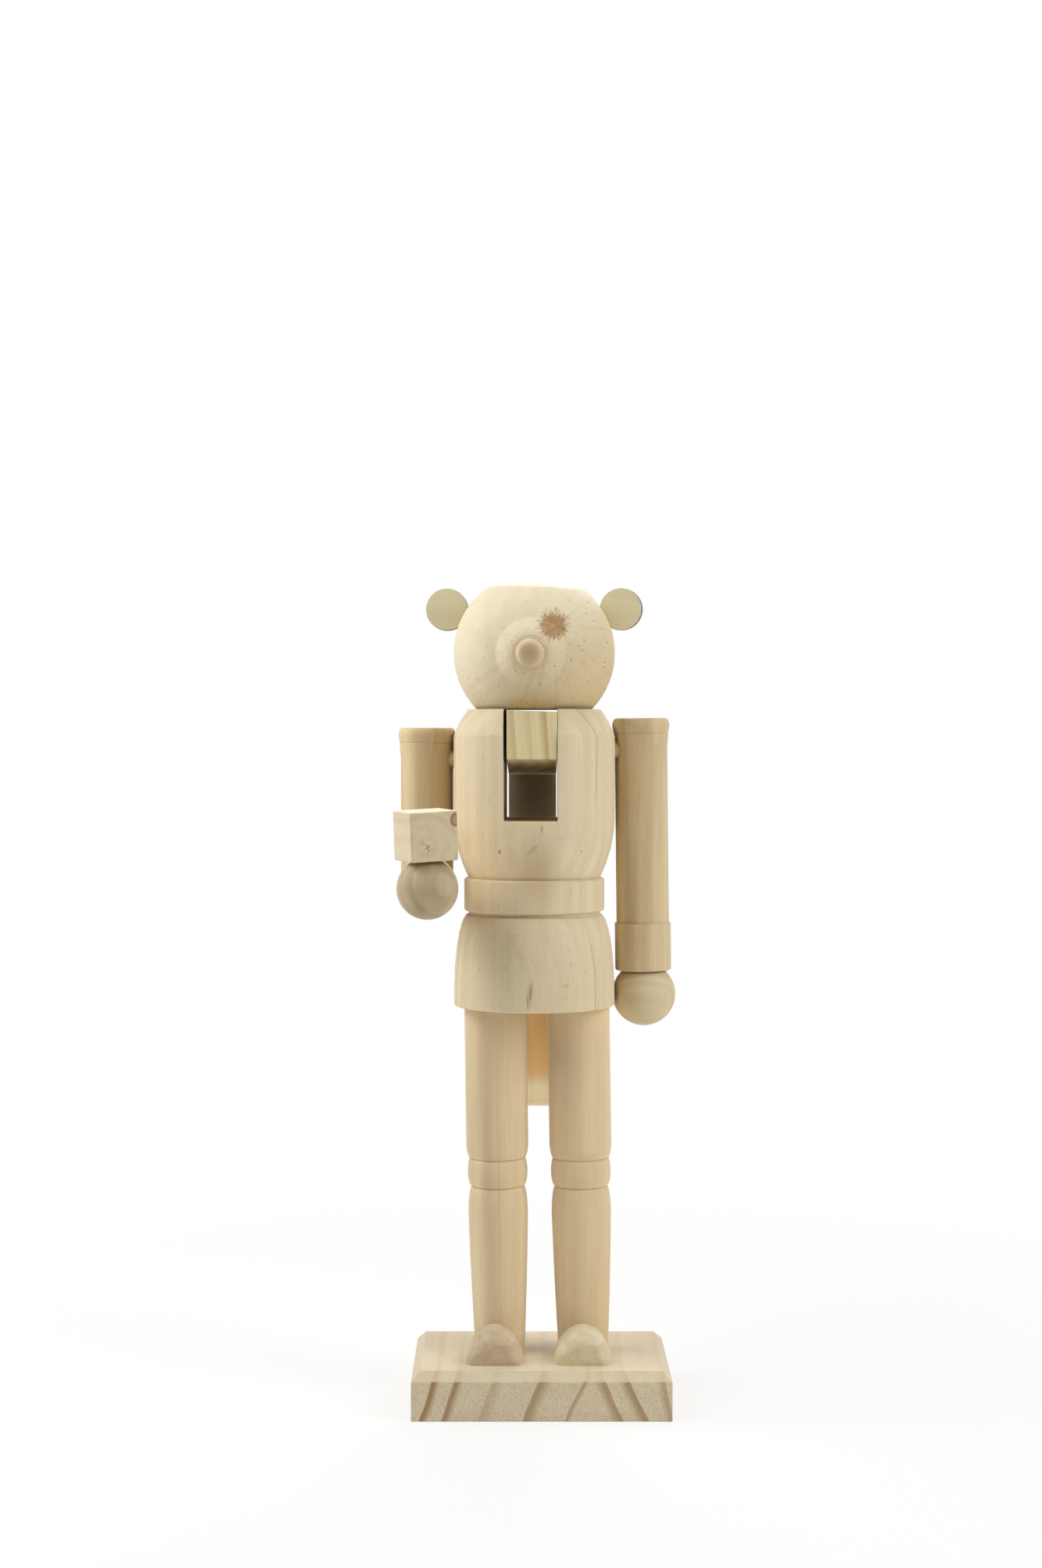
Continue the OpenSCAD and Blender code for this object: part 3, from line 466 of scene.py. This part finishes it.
def arm_wood(name, grain, pith, early, late):
    """Turned and sanded softwood, yellower than the body: close streaks of brown along the arm."""
    wood = start_wood("turned_softwood_" + name, pith, grain, 4.6, early, late, show=0.3, wander=1.0,
                      streaks=0.4, ends=0.15)
    flecks(wood, 1.7, 0.1, 10, "#a07d53", common=0.3)
    return finish_wood(wood)


def hand_wood(name, grain, pith, early, late, show):
    """Turned and sanded softwood ball: the years bend across it as curved bands."""
    wood = start_wood("turned_ball_" + name, pith, grain, 4.4, early, late, show=show, wander=1.0,
                      streaks=0.3, ends=0.15)
    flecks(wood, 1.8, 0.13, 10, "#927549", common=0.4)
    return finish_wood(wood)


def gift_wood():
    """Sawn and sanded softwood block with end grain to the front: fine pores, a cracked pith low in the face
    and half of a small knot at its right edge."""
    grain = (0.384, -0.923, 0)
    wood = start_wood("sawn_end_grain_gift", (-33.8, -47, 171.5), grain, 3.4, "#dccdab", "#bba37a", show=0.3,
                      wander=0.8, streaks=0.25, ends=0.1)
    tree = wood.tree
    flecks(wood, 0.5, 0.16, 12, "#b09a77", common=0.45, where=wood.end)
    # Knot, with a dark rim
    spot(wood, "#8f6c48", (-25.2, -46, 179.8), (1.9, 8, 2.5), soft=0.3, ragged=0.4)
    spot(wood, "#b58f6d", (-25.0, -46, 179.8), (1.5, 8, 2.0), soft=0.4, ragged=0.4)
    # Cracked pith: the thin lines where a noise passes its middle value
    crack_size = 2.2
    split = add(tree, "TexNoise", {"Vector": wood.log, "Scale": 1 / crack_size, "Detail": 3.0}, out="Fac")
    split = add(tree, "Math", {0: split, 1: 0.5}, operation="SUBTRACT")
    split = add(tree, "Math", {0: split}, operation="ABSOLUTE")
    crack = add(tree, "MapRange", {"Value": split, "From Min": 0.03, "From Max": 0.01, "To Max": 0.8})
    pith = mark(wood, (-33.8, -47, 171.6), (3.2, 8, 3.6), soft=0.7)
    stain(wood, add(tree, "Math", {0: crack, 1: pith}, operation="MULTIPLY"), "#96754c")
    # A dark strip at the left, and a painted highlight on the top face
    spot(wood, "#94795a", (-37.6, -46, 172), (0.5, 5, 8), soft=1.0, depth=0.5)
    facing = add(tree, "SeparateXYZ", {0: wood.normal}, out="Z")
    top = add(tree, "MapRange", {"Value": facing, "From Min": 0.6, "From Max": 0.9, "To Max": 0.7})
    stain(wood, top, "#f4ead0")
    return finish_wood(wood, relief=0.05)


def dowel_wood():
    """Plain machined birch dowel, inside the joints: pale, with close faint years."""
    wood = start_wood("machined_birch_dowel", (14, 20, 0), UPRIGHT, 2.5, "#d6c198", "#b8975f", show=0.4)
    return finish_wood(wood)


# Each piece gets its wood

def dress(material, *names):
    """Gives CAD nodes a material in place of their plain one."""
    for name in names:
        nodes[name].data.materials.clear()
        nodes[name].data.materials.append(material)


dress(base_pine(), "base")
left_years = [(-21.5, 3.5, 0.35, "#bfa780"), (-16.0, 3.0, 0.4, "#bda57f"), (-12.9, 0.7, 0.25, "#b89868")]
# On the right leg's inner side: a stripe that is partly a darker year and partly painted shade
right_year_and_shade = [(6.0, 3.8, 0.5, "#dcbf9c")]
dress(leg_wood("left_leg", -22, "#e5d2ac", "#c6a97c", left_years), "left_leg")
dress(leg_wood("right_leg", 2, "#e5d0a8", "#c8aa7d", right_year_and_shade), "right_leg")
dress(toe_wood("left_toe", "#d5c3a3", "#ad9470"), "left_toe")
dress(toe_wood("right_toe", "#e6d9b9", "#c4ac85"), "right_toe")
dress(body_wood(), "body")
dress(lever_pine(), "jaw_lever")
dress(head_wood(), "head")
dress(nose_dowel(), "nose")
for ear in ("left_ear", "right_ear"):
    dress(ear_plywood(ear), ear)
arm_grain = (0.03, 0.02, 1)
dress(arm_wood("right_arm", arm_grain, (14, 22, 150), "#dcc9a0", "#b3956a"), "right_arm")
dress(arm_wood("left_upper_arm", arm_grain, (-22, 26, 170), "#dec99f", "#b9935c"), "left_upper_arm")
dress(arm_wood("left_forearm", FRONT_TO_BACK, (-22, 0, 190), "#dec99f", "#b9935c"), "left_forearm")
dress(hand_wood("left_hand", (0.1, 0.3, 1), (-52, -20, 160), "#c3b18d", "#8f7a58", 0.35), "left_hand")
dress(hand_wood("right_hand", SIDEWAYS, (32, -10, 118), "#dccaa5", "#bba176", 0.25), "right_hand")
dress(gift_wood(), "gift_block")
dowels = [name for name in nodes if name.endswith(("dowel", "peg", "pin"))]
dress(dowel_wood(), *dowels)


# Eased edges

def soften(edge, *names):
    """Eases the sharp edges of CAD nodes by a width in mm, and shades their facets as one smooth surface."""
    # Corners within close mm become one, faces that turn by less than flat degrees become one, and edges that
    # turn by more than sharp degrees are eased
    close = 0.001
    flat = 0.05
    sharp = 28
    for name in names:
        piece = nodes[name]
        piece.data.polygons.foreach_set("use_smooth", [True] * len(piece.data.polygons))
        weld = piece.modifiers.new("weld", "WELD")
        weld.merge_threshold = close * MM
        whole = piece.modifiers.new("whole_faces", "DECIMATE")
        whole.decimate_type = "DISSOLVE"
        whole.angle_limit = math.radians(flat)
        ease = piece.modifiers.new("eased_edges", "BEVEL")
        ease.width = edge * MM
        ease.segments = 3
        ease.limit_method = "ANGLE"
        ease.angle_limit = math.radians(sharp)
        even = piece.modifiers.new("even_shading", "WEIGHTED_NORMAL")
        even.keep_sharp = False


soften(0.5, "base", "gift_block")
soften(0.3, "left_toe", "right_toe")
soften(0.12, "right_arm", "left_upper_arm", "left_forearm", "left_leg", "right_leg")
soften(0.2, "left_hand", "right_hand", "left_ear", "right_ear")
soften(0.15, "body", "jaw_lever")
soften(0.06, "head", "nose")


# Glue round the nose

def glue_bead(wide, high):
    """Bead of glue, sanded with the wood, in the joint round the nose. wide and high are its size in mm."""
    tucked_in = 0.05
    hole_gap = 0.15
    sides = 96
    middle = centre_of("nose") * MM
    nose_r = max((v.co - middle).cross(NOSE_AXIS).length for v in nodes["nose"].data.vertices)
    # The rim of the nose's hole is the head's foremost corner beside the nose
    rim = -math.inf
    for corner in nodes["head"].data.vertices:
        out = corner.co - middle
        along = out.dot(NOSE_AXIS)
        if (out - along * NOSE_AXIS).length < nose_r + hole_gap * MM:
            rim = max(rim, along)
    side = NOSE_AXIS.orthogonal().normalized()
    up = NOSE_AXIS.cross(side)
    mesh = bmesh.new()
    rings = []
    for r, lift in ((nose_r - tucked_in * MM, high * MM), (nose_r + wide * MM, 0.0)):
        hub = middle + (rim + lift) * NOSE_AXIS
        turns = [math.tau * i / sides for i in range(sides)]
        rings.append([mesh.verts.new(hub + r * (math.cos(a) * side + math.sin(a) * up)) for a in turns])
    inner, outer = rings
    for i in range(sides):
        j = (i + 1) % sides
        mesh.faces.new((inner[i], inner[j], outer[j], outer[i])).smooth = True
    bmesh.ops.recalc_face_normals(mesh, faces=mesh.faces)
    bead = bpy.data.objects.new("nose_glue_bead", bpy.data.meshes.new("nose_glue_bead"))
    mesh.to_mesh(bead.data)
    mesh.free()
    bpy.context.scene.collection.objects.link(bead)
    bead.data.materials.append(nodes["head"].data.materials[0])
    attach(bead, "figure")


glue_bead(0.25, 0.08)


# Studio

def area_light(name, place, aim, size, power):
    """Softbox that faces a point. place, aim and size are in mm, and power is in watts."""
    lamp = bpy.data.lights.new(name, "AREA")
    lamp.shape = "RECTANGLE"
    lamp.size, lamp.size_y = Vector(size) * MM
    lamp.energy = power
    rig = bpy.data.objects.new(name, lamp)
    rig.location = Vector(place) * MM
    rig.rotation_euler = (Vector(aim) - Vector(place)).to_track_quat("-Z", "Y").to_euler()
    bpy.context.scene.collection.objects.link(rig)


def to_background(tree):
    """Share of the background's white that a ray gets: all of it from the camera, from gloss and from glass,
    and none of it as light on matt surfaces."""
    seen = add(tree, "LightPath", out="Is Camera Ray")
    rays = seen.node.outputs
    for kind in ("Is Glossy Ray", "Is Transmission Ray"):
        seen = add(tree, "Math", {0: seen, 1: rays[kind]}, operation="MAXIMUM")
    return seen


def white_world():
    """White all round, behind the floor's far edge."""
    world = bpy.data.worlds.new("white_studio")
    bpy.context.scene.world = world
    world.use_nodes = True
    tree = world.node_tree
    tree.nodes.clear()
    white = add(tree, "Background", {"Color": linear("#ffffff"), "Strength": to_background(tree)})
    add(tree, "OutputWorld", {"Surface": white})


def paper_sweep():
    """Matt white paper: near the figure it takes a soft shadow, and further out it is plain white."""
    paper = bpy.data.materials.new("white_paper_sweep")
    paper.use_nodes = True
    tree = paper.node_tree
    tree.nodes.clear()
    shadow_r, white_r = 100, 350
    diffuse = add(tree, "BsdfDiffuse", {"Color": linear("#f4f3f0")})
    glow = add(tree, "Emission", {"Color": linear("#ffffff"), "Strength": 1.0})
    place = add(tree, "TexCoord", out="Object")
    away = add(tree, "VectorMath", {0: place}, out="Value", operation="LENGTH")
    bare = add(tree, "MapRange", {"Value": away, "From Min": shadow_r * MM, "From Max": white_r * MM,
                                  "To Min": 0.7, "To Max": 1.0})
    seen = add(tree, "Math", {0: to_background(tree), 1: bare}, operation="MULTIPLY")
    add(tree, "OutputMaterial", {"Surface": add(tree, "MixShader", {0: seen, 1: diffuse, 2: glow})})
    return paper


middle = (cad_box[0] + cad_box[1]) / (2 * MM)
chest = (0, 0, 200)
area_light("left_softbox", (-462, 40, 387), chest, (300, 450), 1.55)
area_light("left_front_softbox", (-321, -209, 521), chest, (300, 300), 1.12)
area_light("right_softbox", (747, -397, 556), middle, (450, 750), 5.8)
area_light("top_softbox", (0, 0, 1075), middle, (450, 450), 2.5)
area_light("back_softbox", (183, 682, 760), middle, (600, 450), 3.4)
white_world()

bpy.ops.mesh.primitive_plane_add(size=6000 * MM)
floor = bpy.context.object
floor.name = "floor"
floor.data.materials.append(paper_sweep())

# Camera: level, at the height of the jaw. AXIS_PX is the point of the picture that it looks straight at, and
# Blender fits the sensor's width to the picture's longer side, which is its height.
IMAGE_W, IMAGE_H = 1333, 2005
FOCAL_PX = 3250
AXIS_PX = (655, 940)
camera = bpy.data.objects.new("camera", bpy.data.cameras.new("camera"))
bpy.context.scene.collection.objects.link(camera)
bpy.context.scene.camera = camera
camera.location = Vector((-8.85, -784.6, 204.4)) * MM
camera.rotation_euler = (math.radians(90), 0, 0)
camera.data.sensor_width = 36
camera.data.lens = FOCAL_PX * camera.data.sensor_width / IMAGE_H
camera.data.shift_x = (IMAGE_W / 2 - AXIS_PX[0]) / IMAGE_H
camera.data.shift_y = (AXIS_PX[1] - IMAGE_H / 2) / IMAGE_H

scene = bpy.context.scene
scene.view_settings.view_transform = "Standard"
